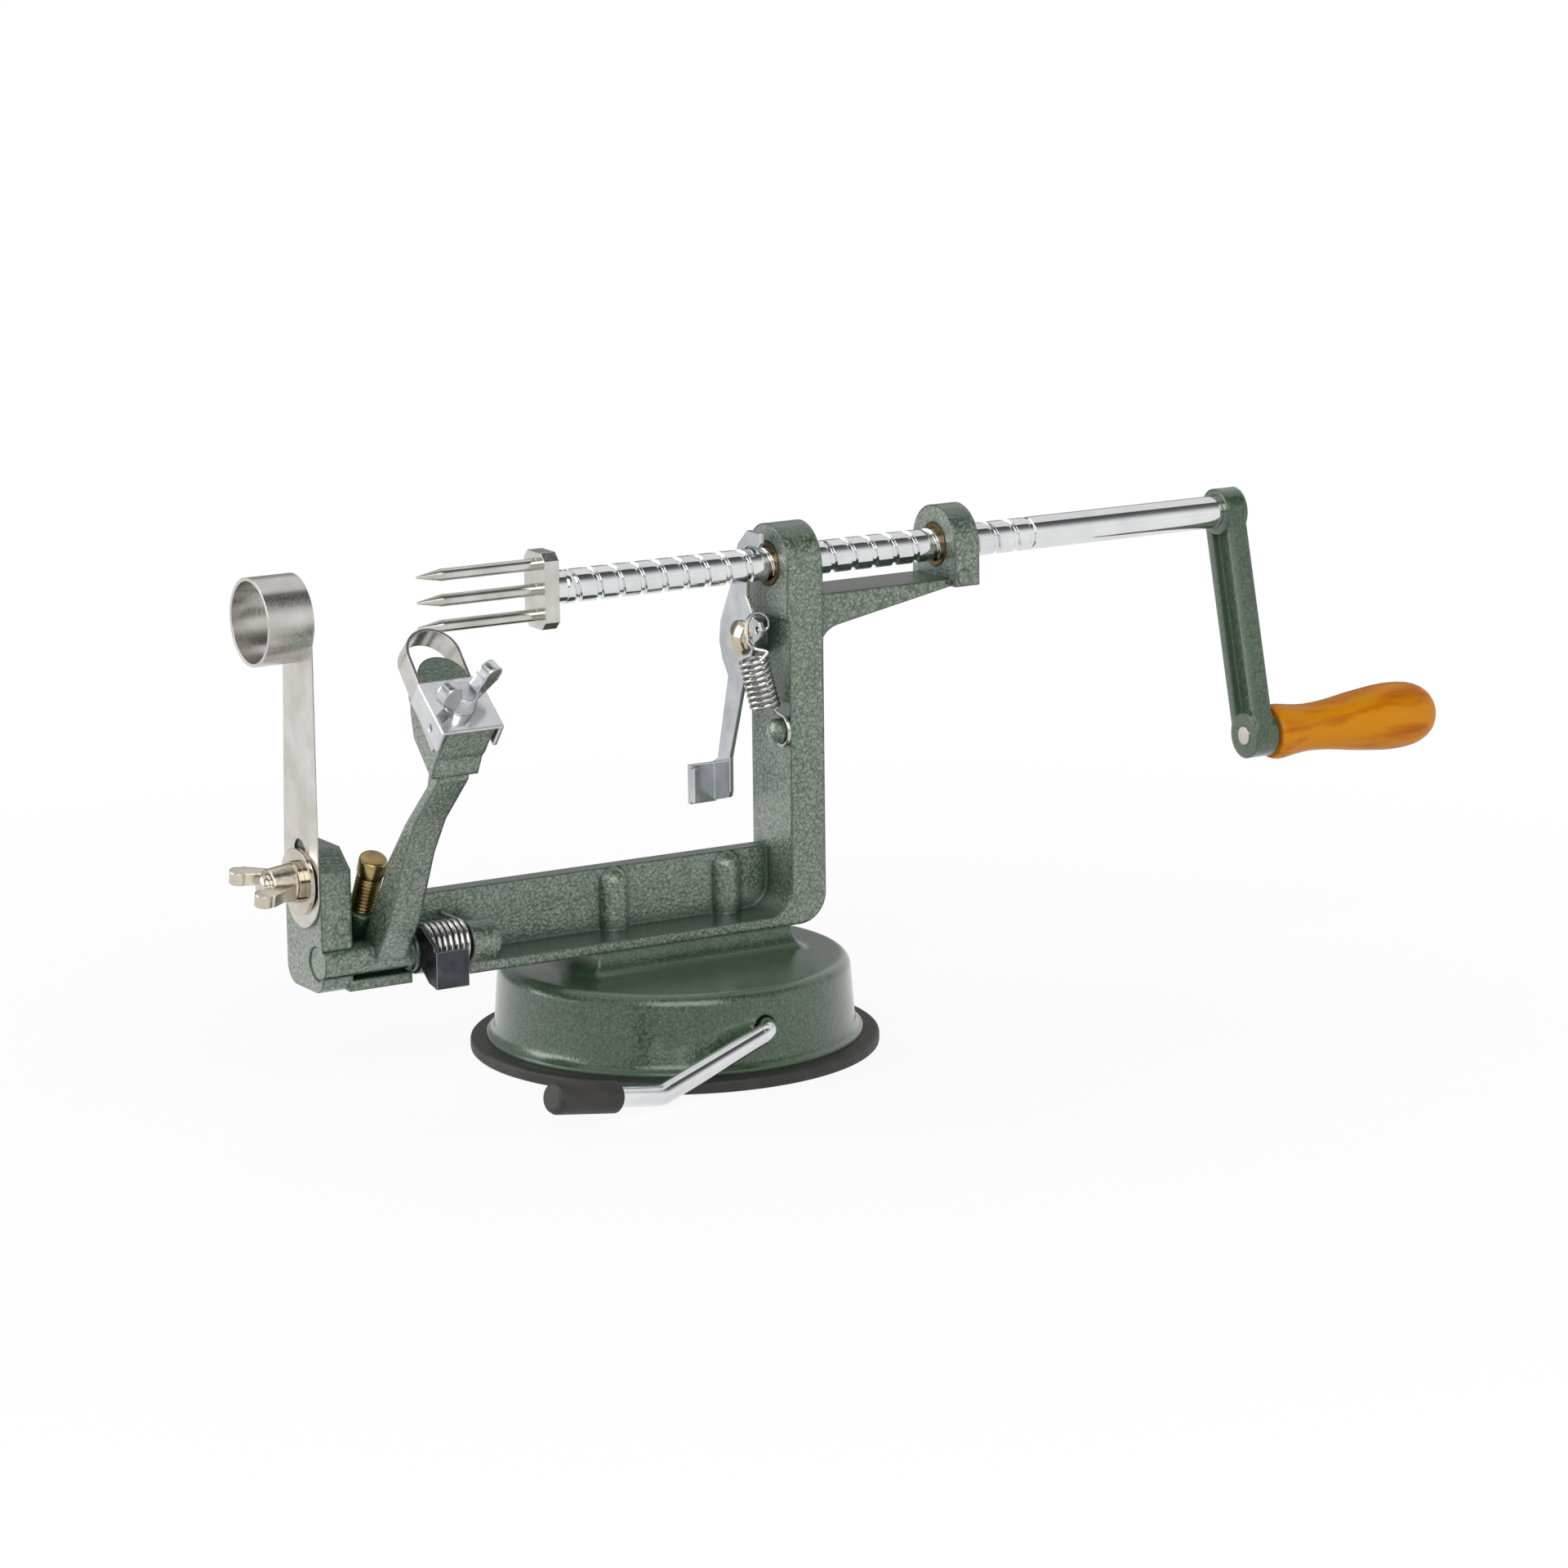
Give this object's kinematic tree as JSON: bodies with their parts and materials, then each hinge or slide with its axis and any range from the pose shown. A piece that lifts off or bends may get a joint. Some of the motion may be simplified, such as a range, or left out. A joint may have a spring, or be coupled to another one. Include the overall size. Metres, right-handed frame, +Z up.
{
  "type": "apple peeler",
  "caption": "Hand cranked kitchen peeler with a threaded shaft, pronged fork, sprung peeler arm, coring and slicing blade, and a lever suction base.",
  "frame": {"origin": "centre of the suction ring's underside, on the table", "axes": "+X along the drive shaft toward the crank, +Y away from the peeler arm, +Z up"},
  "size_m": [0.3612, 0.1244, 0.1368],
  "materials": {
    "enamel": "dark green hammered enamel on a casting",
    "chrome": "bright plated",
    "steel": "plain stainless, lightly brushed",
    "nickel": "nickel plate with a warm tint",
    "yellow_zinc": "yellow zinc plate",
    "blued_steel": "dark blued steel",
    "brass": "plain turned",
    "wood": "amber varnish over turned wood",
    "rubber": "matt black"
  },
  "bodies": {
    "base": {"frame": "enamel", "base_housing": "enamel", "suction_cup": "rubber", "frame_screws": "steel", "blade_stud": "nickel", "lever_rivet": "nickel", "blade_washer": "nickel", "lock_washer": "nickel", "thread_spring": "nickel", "arm_spring": "nickel"},
    "bushes": {"front_bush": "brass", "rear_bush": "brass"},
    "drive": {"drive_shaft": "chrome", "fork": "nickel", "crank_arm": "enamel", "grip_spindle": "steel"},
    "grip": {"handle_grip": "wood"},
    "feed_lever": {"thread_lever": "chrome"},
    "arm": {"peeler_arm": "enamel", "stirrup_blade": "steel", "blade_clamp": "chrome"},
    "clamp": {"clamp_screw": "chrome"},
    "catch": {"arm_catch": "blued_steel"},
    "stop": {"stop_screw": "yellow_zinc"},
    "nut": {"wing_nut": "nickel"},
    "slicer": {"corer_blade": "steel"},
    "suction_handle": {"suction_lever": "chrome", "lever_sleeve": "rubber"},
    "stem": {"suction_stem": "steel"}
  },
  "joints": [
    {"name": "crank_turn", "type": "hinge", "parent": "base", "child": "bushes", "pos_m": [0.0374, 0, 0.1255], "axis": [1, 0, 0], "range_deg": [-3240, 2610]},
    {"name": "shaft_feed", "type": "slide", "parent": "bushes", "child": "drive", "axis": [1, 0, 0], "range_m": [-0.0578, 0.0466]},
    {"name": "grip_spin", "type": "hinge", "parent": "drive", "child": "grip", "pos_m": [0.2, -0.01447, 0.06521], "axis": [1, 0, 0], "continuous": true},
    {"name": "thread_lever_swing", "type": "hinge", "parent": "base", "child": "feed_lever", "pos_m": [0.0256, 0.0055, 0.1052], "axis": [-1, 0, 0], "range_deg": [0, 8], "stiffness_Nm_per_rad": 0.02, "springref_deg": -11.46, "deforming": ["thread_spring"]},
    {"name": "arm_swing", "type": "hinge", "parent": "base", "child": "arm", "pos_m": [-0.089, -0.007, 0.0375], "axis": [1, 0, 0], "range_deg": [-8, 30], "stiffness_Nm_per_rad": 0.1, "springref_deg": -14.32, "deforming": ["arm_spring"]},
    {"name": "clamp_screw_turn", "type": "hinge", "parent": "arm", "child": "clamp", "pos_m": [-0.089, -0.05232, 0.1092], "axis": [0, -0.6157, 0.788], "continuous": true},
    {"name": "arm_catch_turn", "type": "hinge", "parent": "base", "child": "catch", "pos_m": [-0.08, -0.007, 0.0375], "axis": [1, 0, 0], "range_deg": [0, 12]},
    {"name": "stop_screw_turn", "type": "hinge", "parent": "base", "child": "stop", "pos_m": [-0.092, -0.0015, 0.0481], "axis": [0, -0.454, 0.891], "continuous": true},
    {"name": "wing_nut_turn", "type": "hinge", "parent": "base", "child": "nut", "pos_m": [-0.1144, -0.001, 0.058], "axis": [-1, 0, 0], "continuous": true},
    {"name": "slicer_swing", "type": "hinge", "parent": "base", "child": "slicer", "pos_m": [-0.1082, -0.001, 0.058], "axis": [-1, 0, 0], "range_deg": [0, 90]},
    {"name": "suction_lever_turn", "type": "hinge", "parent": "base", "child": "suction_handle", "pos_m": [0, 0, 0.0144], "axis": [0, 1, 0], "range_deg": [0, 180]},
    {"name": "stem_lift", "type": "slide", "parent": "base", "child": "stem", "axis": [0, 0, 1], "range_m": [0, 0.00241]}
  ],
  "couplings": [
    {"joint": "shaft_feed", "follows": "crank_turn", "m_per_rad": 0.0010186},
    {"joint": "stem_lift", "follows": "suction_lever_turn", "m_per_rad": 0.00076394}
  ]
}
